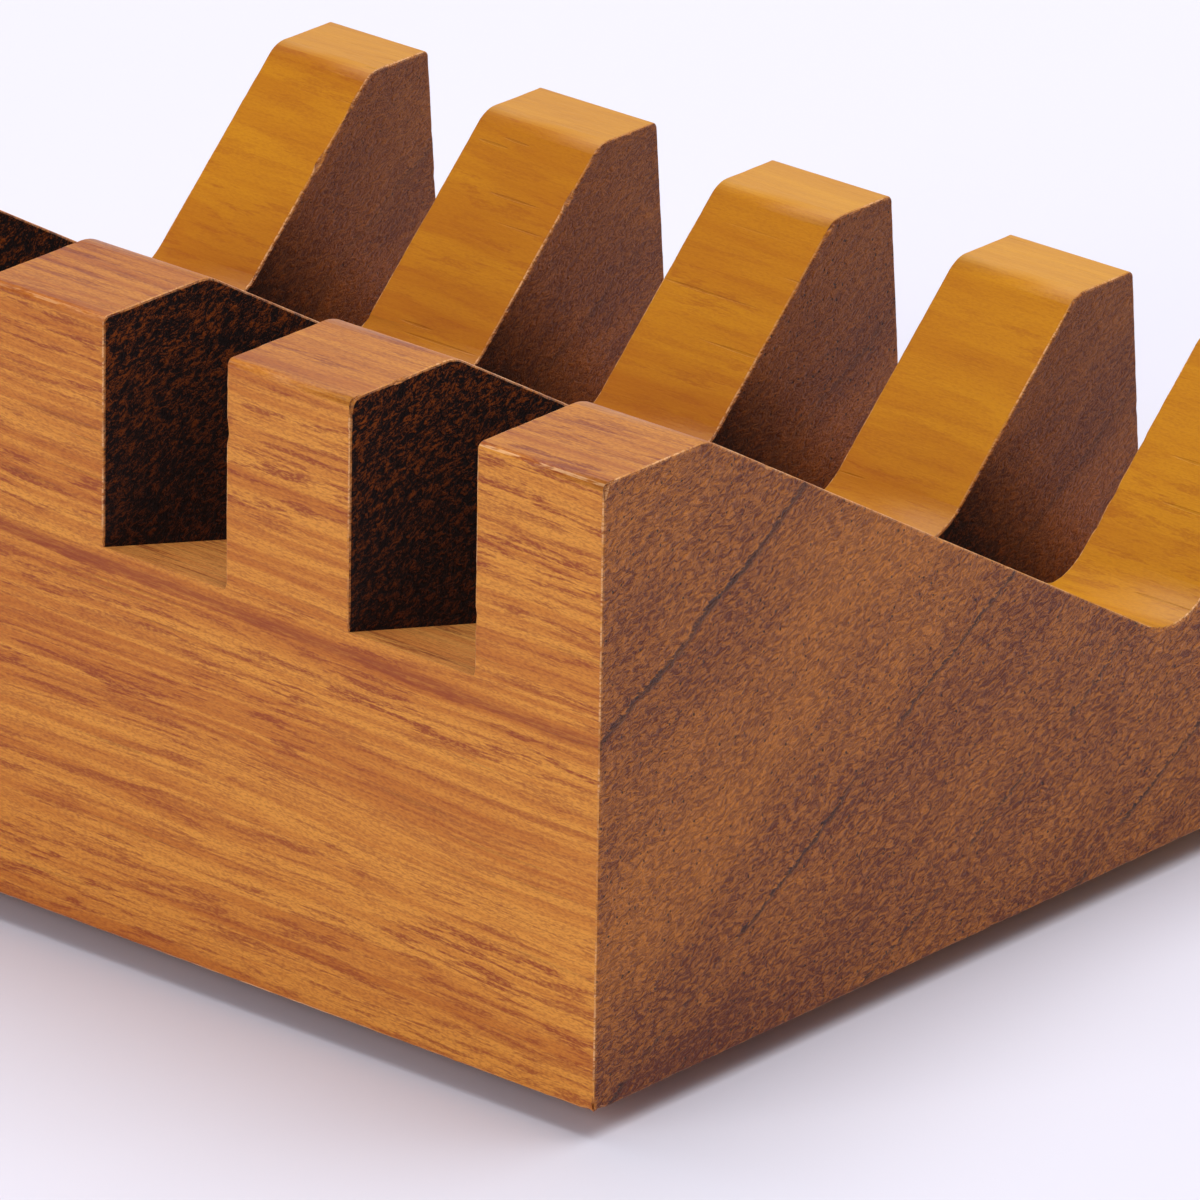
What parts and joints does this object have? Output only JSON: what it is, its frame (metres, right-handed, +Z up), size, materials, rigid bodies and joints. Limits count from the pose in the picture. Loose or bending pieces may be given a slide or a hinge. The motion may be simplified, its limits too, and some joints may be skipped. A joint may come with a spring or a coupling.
{
  "type": "pick holder",
  "caption": "Slotted hardwood block with a tall front row and a lower back row of teeth and a V-shaped valley between them, on small rubber feet; flat picks stand on edge in the slots.",
  "frame": {"origin": "on the surface that the feet stand on, under the middle of the block's bounding box", "axes": "+X along the block and its grain, towards the right-hand end seen from the front; +Y from the tall front face to the back; +Z up"},
  "size_m": [0.0554, 0.0488, 0.0266],
  "materials": {
    "oiled_hardwood": "sanded and oiled, satin",
    "foot_rubber": "matt"
  },
  "bodies": {
    "root": {"block": "oiled_hardwood", "foot_front_left": "foot_rubber", "foot_front_right": "foot_rubber", "foot_back_left": "foot_rubber", "foot_back_right": "foot_rubber"}
  },
  "joints": []
}
